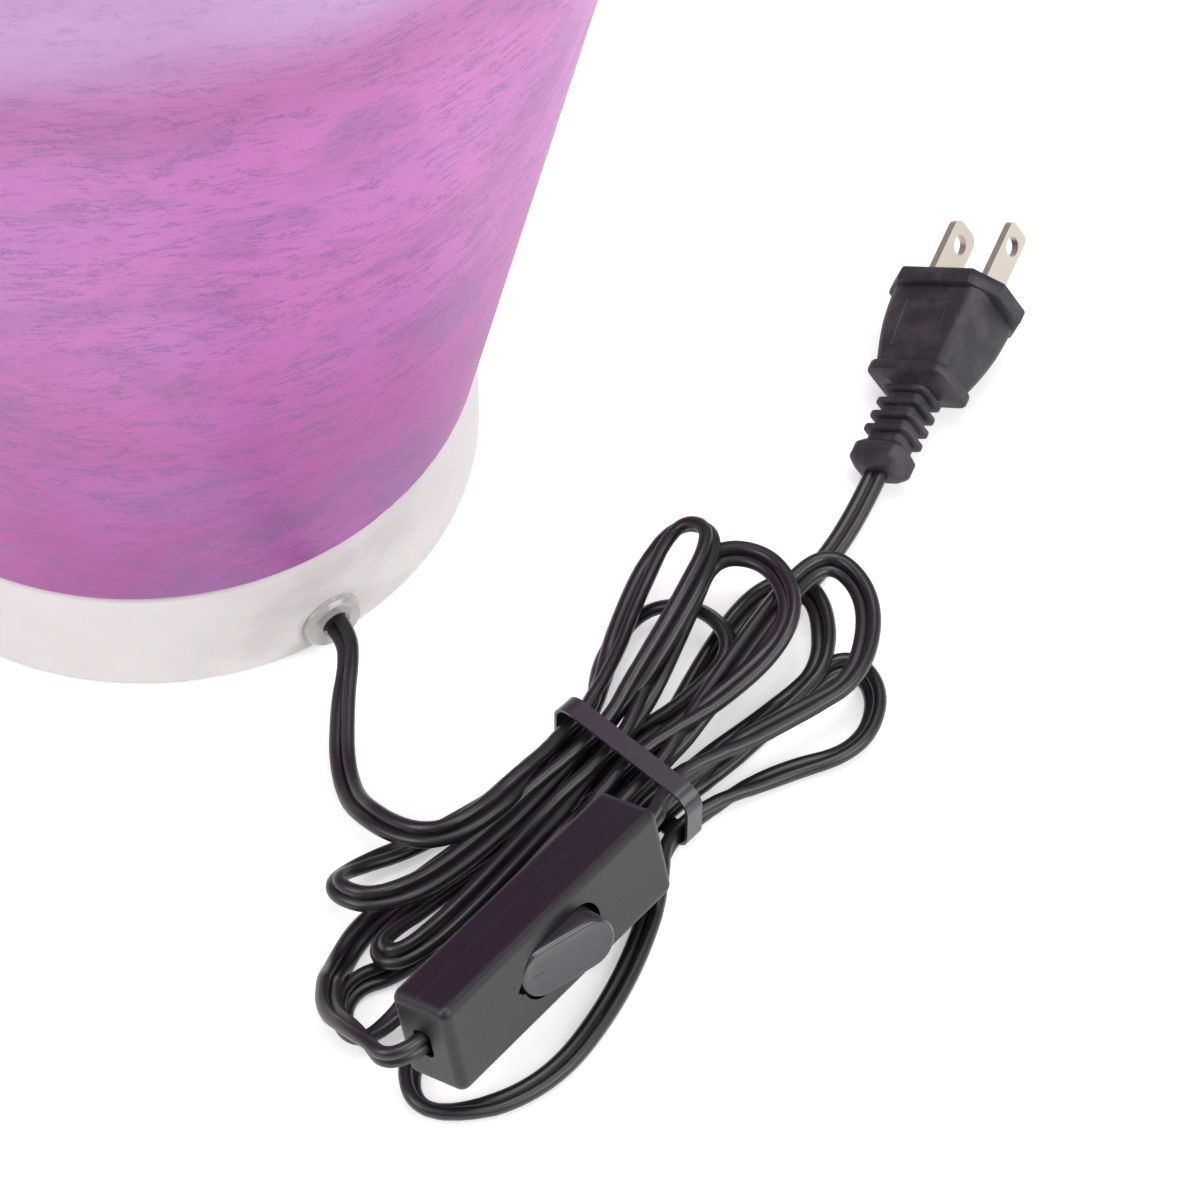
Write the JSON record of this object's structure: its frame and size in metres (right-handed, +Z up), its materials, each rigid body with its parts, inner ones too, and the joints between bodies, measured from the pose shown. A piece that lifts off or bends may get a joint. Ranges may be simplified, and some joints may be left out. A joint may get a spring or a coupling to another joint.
{
  "type": "accent lamp",
  "caption": "Flared purple art glass accent lamp on a frosted white base, with a tied cord, an in-line rocker switch and a moulded plug.",
  "frame": {"origin": "centre of the face that the lamp stands on", "axes": "+Z up along the lamp's axis; the cord leaves the base towards -Y and +X"},
  "size_m": [0.2782, 0.2687, 0.3001],
  "materials": {
    "felt": "as made",
    "plate_steel": "as made",
    "screw_steel": "as made",
    "frosted_white": "satin",
    "clear_rubber": "as made",
    "purple_glass": "satin",
    "pipe_brass": "as made",
    "nut_steel": "as made",
    "black_rubber": "as made",
    "socket_brass": "as made",
    "liner_card": "as made",
    "phenolic": "as made",
    "screw_shell_metal": "as made",
    "contact_brass": "as made",
    "bulb_base_metal": "as made",
    "bulb_white": "satin",
    "cord_black": "as made",
    "lead_insulation": "as made",
    "switch_plastic": "as made",
    "rocker_plastic": "as made",
    "plunger_plastic": "as made",
    "spring_steel": "as made",
    "plug_plastic": "as made",
    "blade_nickel": "as made",
    "tie_plastic": "as made"
  },
  "bodies": {
    "lamp": {"felt_pad": "felt", "bottom_plate": "plate_steel", "plate_screws": "screw_steel", "base_cup": "frosted_white", "cord_grommet": "clear_rubber", "glass_body": "purple_glass", "lamp_pipe": "pipe_brass", "bottom_nut": "nut_steel", "lock_washer": "nut_steel", "deck_washer": "nut_steel", "seat_gasket": "black_rubber", "top_gasket": "black_rubber", "top_washer": "nut_steel", "top_nut": "nut_steel", "socket_cap": "socket_brass", "socket_shell": "socket_brass", "socket_liner": "liner_card", "socket_interior": "phenolic", "screw_shell": "screw_shell_metal", "centre_contact": "contact_brass", "terminal_screws": "contact_brass", "bulb_base": "bulb_base_metal", "bulb_glass": "bulb_white", "inner_cord": "cord_black", "socket_leads": "lead_insulation", "switch_cover_front": "switch_plastic", "switch_cover_back": "switch_plastic", "switch_screws": "screw_steel", "pivot_contact": "contact_brass", "fixed_contact": "contact_brass", "switch_terminal_screws": "contact_brass", "switch_leads": "lead_insulation", "plug_body": "plug_plastic", "blade_hot": "blade_nickel", "blade_neutral": "blade_nickel", "cord_tie": "tie_plastic", "cord_lead_lamp": "cord_black", "cord_hank_lamp": "cord_black", "cord_lead_switch": "cord_black", "cord_hank_plug": "cord_black", "cord_lead_plug": "cord_black"},
    "rocker_body": {"rocker": "rocker_plastic", "plunger_spring": "spring_steel"},
    "plunger_body": {"rocker_plunger": "plunger_plastic"},
    "lever_body": {"contact_lever": "contact_brass"}
  },
  "joints": [
    {"name": "rocker_tilt", "type": "hinge", "parent": "lamp", "child": "rocker_body", "pos_m": [0.07802, -0.13481, 0.02152], "axis": [-0.174, 0.2691, 0.9473], "range_deg": [0, 22]},
    {"name": "plunger_slide", "type": "slide", "parent": "rocker_body", "child": "plunger_body", "axis": [0.6401, -0.7001, 0.3165], "range_m": [0, 0.0008], "stiffness_N_per_m": 400, "deforming": ["plunger_spring"]},
    {"name": "lever_tilt", "type": "hinge", "parent": "lamp", "child": "lever_body", "pos_m": [0.07293, -0.1311, 0.01954], "axis": [-0.174, 0.2691, 0.9473], "range_deg": [-11, 0]}
  ],
  "couplings": [
    {"joint": "lever_tilt", "follows": "rocker_tilt", "ratio": -0.5}
  ]
}
